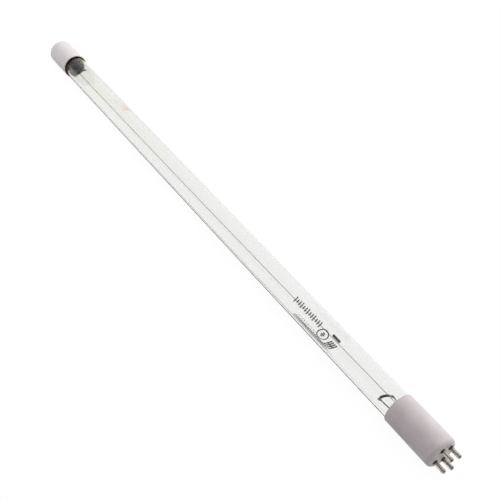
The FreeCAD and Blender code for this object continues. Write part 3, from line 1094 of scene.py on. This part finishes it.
def makePrint():
    v = printValues
    verts, faces = [], []

    def add(path, width, closed=False):
        joinShape(verts, faces, *inkStroke(path, width, closed))

    def arcOf(turn):
        return math.radians(turn) * v["seat"]

    # a row of plain bars, long and short in turn
    pitch = (v["rowTo"] - v["rowFrom"]) / v["rowMarks"]
    middle = arcOf(v["rowTurn"])
    for index in range(v["rowMarks"]):
        x = v["rowFrom"] + pitch * (index + 0.5)
        half = v["rowHeights"][index % len(v["rowHeights"])] / 2
        add(straight(x, middle - half, x, middle + half), v["rowStroke"])
    # ring around a worn dot
    x, turn = v["ringPlace"]
    middle = arcOf(turn)
    ring = []
    for k in range(v["ringSteps"]):
        turn = 2 * math.pi * k / v["ringSteps"]
        ring.append((x + v["ringRadius"] * math.cos(turn), middle + v["ringRadius"] * math.sin(turn)))
    add(ring, v["ringStroke"], closed=True)
    for shift, half in v["dotBars"]:
        add(straight(x - half, middle + shift, x + half, middle + shift), v["dotStroke"])
    # solid bar
    x0, x1, turn = v["barPlace"]
    add(straight(x0, arcOf(turn), x1, arcOf(turn)), v["barWidth"])
    # small hatched patch
    x, turn = v["hatchPlace"]
    middle = arcOf(turn)
    slope, half = v["hatchSlope"], v["hatchHeight"]
    for shift in v["hatchShifts"]:
        add(straight(x + shift - slope, middle - half, x + shift + slope, middle + half), v["hatchStroke"])
    add(straight(x - v["hatchWidth"], middle, x + v["hatchWidth"], middle), v["hatchStroke"])
    # further rows, seen almost edge-on
    for x0, x1, turn, height in v["lowRows"]:
        count = int((x1 - x0) / v["lowPitch"])
        middle = arcOf(turn)
        for k in range(count):
            x = x0 + (x1 - x0) * (k + 0.5) / count
            half = height * (0.7 + 0.3 * math.cos(k * 2.4)) / 2
            lean = 0.25 * math.sin(k * 1.7)
            add(straight(x, middle - half, x + lean, middle + half, 4), v["lowStroke"])
    makePiece("printMarks", verts, faces, printInk, (), 50)


# Each film has x from and to, angle from and to, and the share of its height at the first end
filmValues = {
    "rubbed": (96.0, 131.0, -124.0, -84.0, 0.8),
    "paintedLit": (-190.4, -183.6, 60.0, 108.0, 1.0),
    "soilAndShade": (-190.45, -185.5, 155.0, 300.0, 1.0),
    "stepsAcross": 24,
    "stepsAlong": 40,
}


def makeFilmPatch(name, place, material):
    x0, x1, low, high, startShare = place
    seat, thickness = printValues["seat"], printValues["thickness"]
    across, along = filmValues["stepsAcross"], filmValues["stepsAlong"]
    verts, faces = [], []
    for lift in (0.0, thickness):
        for i in range(across + 1):
            for k in range(along + 1):
                height = (high - low) * (startShare + (1 - startShare) * k / along)
                verts.append(polar(x0 + (x1 - x0) * k / along, seat + lift, low + height * i / across))
    layer = (across + 1) * (along + 1)

    def spot(i, k, upper):
        return upper * layer + i * (along + 1) + k

    for i in range(across):
        for k in range(along):
            for u in (0, 1):
                faces.append((spot(i, k, u), spot(i + 1, k, u), spot(i + 1, k + 1, u), spot(i, k + 1, u)))
    for i in range(across):
        for k in (0, along):
            faces.append((spot(i, k, 0), spot(i + 1, k, 0), spot(i + 1, k, 1), spot(i, k, 1)))
    for k in range(along):
        for i in (0, across):
            faces.append((spot(i, k, 0), spot(i, k + 1, 0), spot(i, k + 1, 1), spot(i, k, 1)))
    makePiece(name, verts, faces, material, (), 50)


makePrint()
makeFilmPatch("rubbedPrint", filmValues["rubbed"], rubbedInk)
# painted highlight at the far mouth
makeFilmPatch("paintedLitSpot", filmValues["paintedLit"], paintedLitFilm)
makeFilmPatch("mouthDarkening", filmValues["soilAndShade"], soilAndShadeFilm)
print("print made")


# Floor, light and camera

studioValues = {
    "floorSize": 14.0,
    "floorColour": (0.60, 0.60, 0.60, 1),
    "floorRoughness": 0.9,
    "floorShine": 0.1,
    "floorGlow": 0.92,            # share of plain white that the camera, glass and metal see in the floor
    "floorGlowStrength": 1.045,
    "skyBright": (1.44, 1.44, 1.45, 1),
    "skyDark": (0.06, 0.06, 0.065, 1),
    "reflectBright": (0.90, 0.90, 0.91, 1),
    "reflectDark": (0.12, 0.12, 0.125, 1),
    "skyAim": (-0.20, 0.62, 0.76),        # the bright side of the studio is above and behind the lamp
    "skyFrom": -0.10,
    "skyTo": 1.0,
    "capLightPlace": (-0.44, -0.26, 0.34),
    "capLightAim": (-0.205, 0.0, 0.009),
    "capLightSize": 0.35,
    "capLightPower": 1.0,
}


def makeFloor():
    v = studioValues
    half = v["floorSize"] / 2
    mesh = bpy.data.meshes.new("floor")
    corners = [(-half, -half, 0), (half, -half, 0), (half, half, 0), (-half, half, 0)]
    mesh.from_pydata(corners, [], [(0, 1, 2, 3)])
    addObject("floor", mesh)
    material, tree, shader = startMaterial("paleFloor")
    shader.inputs["Base Color"].default_value = v["floorColour"]
    shader.inputs["Roughness"].default_value = v["floorRoughness"]
    shader.inputs["Specular IOR Level"].default_value = v["floorShine"]
    glow = addNode(tree, "ShaderNodeEmission", Strength=v["floorGlowStrength"])
    path = addNode(tree, "ShaderNodeLightPath")
    seen = mathNode(tree, "MAXIMUM", path.outputs["Is Camera Ray"], path.outputs["Is Transmission Ray"])
    seen = mathNode(tree, "MAXIMUM", seen, path.outputs["Is Glossy Ray"])
    mix = addNode(tree, "ShaderNodeMixShader")
    tree.links.new(mathNode(tree, "MULTIPLY", seen, v["floorGlow"]), mix.inputs[0])
    tree.links.new(shader.outputs[0], mix.inputs[1])
    tree.links.new(glow.outputs[0], mix.inputs[2])
    tree.links.new(mix.outputs[0], tree.nodes["Material Output"].inputs["Surface"])
    mesh.materials.append(material)


def makeWorld():
    v = studioValues
    world = bpy.data.worlds.new("studio")
    bpy.context.scene.world = world
    world.use_nodes = True
    tree = world.node_tree
    back = tree.nodes["Background"]
    place = addNode(tree, "ShaderNodeTexCoord")
    towards = addNode(tree, "ShaderNodeVectorMath", operation="DOT_PRODUCT")
    tree.links.new(place.outputs["Generated"], towards.inputs[0])
    towards.inputs[1].default_value = Vector(v["skyAim"]).normalized()
    side = ramp(tree, towards.outputs["Value"], v["skyFrom"], v["skyTo"])
    path = addNode(tree, "ShaderNodeLightPath")
    lit = mixColour(tree, side, v["skyDark"], v["skyBright"])
    reflected = mixColour(tree, side, v["reflectDark"], v["reflectBright"])
    tree.links.new(mixColour(tree, path.outputs["Is Glossy Ray"], lit, reflected), back.inputs["Color"])
    white = addNode(tree, "ShaderNodeBackground", Strength=1.0)
    white.inputs["Color"].default_value = (1, 1, 1, 1)
    seen = mathNode(tree, "MAXIMUM", path.outputs["Is Camera Ray"], path.outputs["Is Transmission Ray"])
    mix = addNode(tree, "ShaderNodeMixShader")
    tree.links.new(seen, mix.inputs[0])
    tree.links.new(back.outputs[0], mix.inputs[1])
    tree.links.new(white.outputs[0], mix.inputs[2])
    tree.links.new(mix.outputs[0], tree.nodes["World Output"].inputs["Surface"])


def makeLamp():
    # A weak light on the far shell, unseen in the glass
    v = studioValues
    data = bpy.data.lights.new("capLight", "AREA")
    data.shape = "DISK"
    data.size = v["capLightSize"]
    data.energy = v["capLightPower"]
    lamp = addObject("capLight", data)
    lamp.location = v["capLightPlace"]
    lamp.visible_glossy = False
    lamp.visible_transmission = False
    away = Vector(v["capLightAim"]) - Vector(v["capLightPlace"])
    lamp.rotation_euler = away.to_track_quat("-Z", "Y").to_euler()


cameraValues = {
    "place": (0.31615, -0.29880, 0.23970),
    "forward": (-0.57856, 0.64640, -0.49770),
    "up": (-0.59201, 0.08680, 0.80130),
    "lens": 56.16,
    "sensorWidth": 36.0,
    "clip": (0.005, 40.0),
}


def makeCamera():
    v = cameraValues
    forward = Vector(v["forward"]).normalized()
    up = Vector(v["up"])
    up = (up - forward * up.dot(forward)).normalized()
    right = forward.cross(up)
    data = bpy.data.cameras.new("camera")
    data.lens = v["lens"]
    data.sensor_width = v["sensorWidth"]
    data.clip_start, data.clip_end = v["clip"]
    camera = addObject("camera", data)
    camera.matrix_world = Matrix((right, up, -forward)).transposed().to_4x4()
    camera.location = v["place"]
    bpy.context.scene.camera = camera


makeFloor()
makeWorld()
makeLamp()
makeCamera()
bpy.context.scene.view_settings.view_transform = "Standard"
print("studio made")
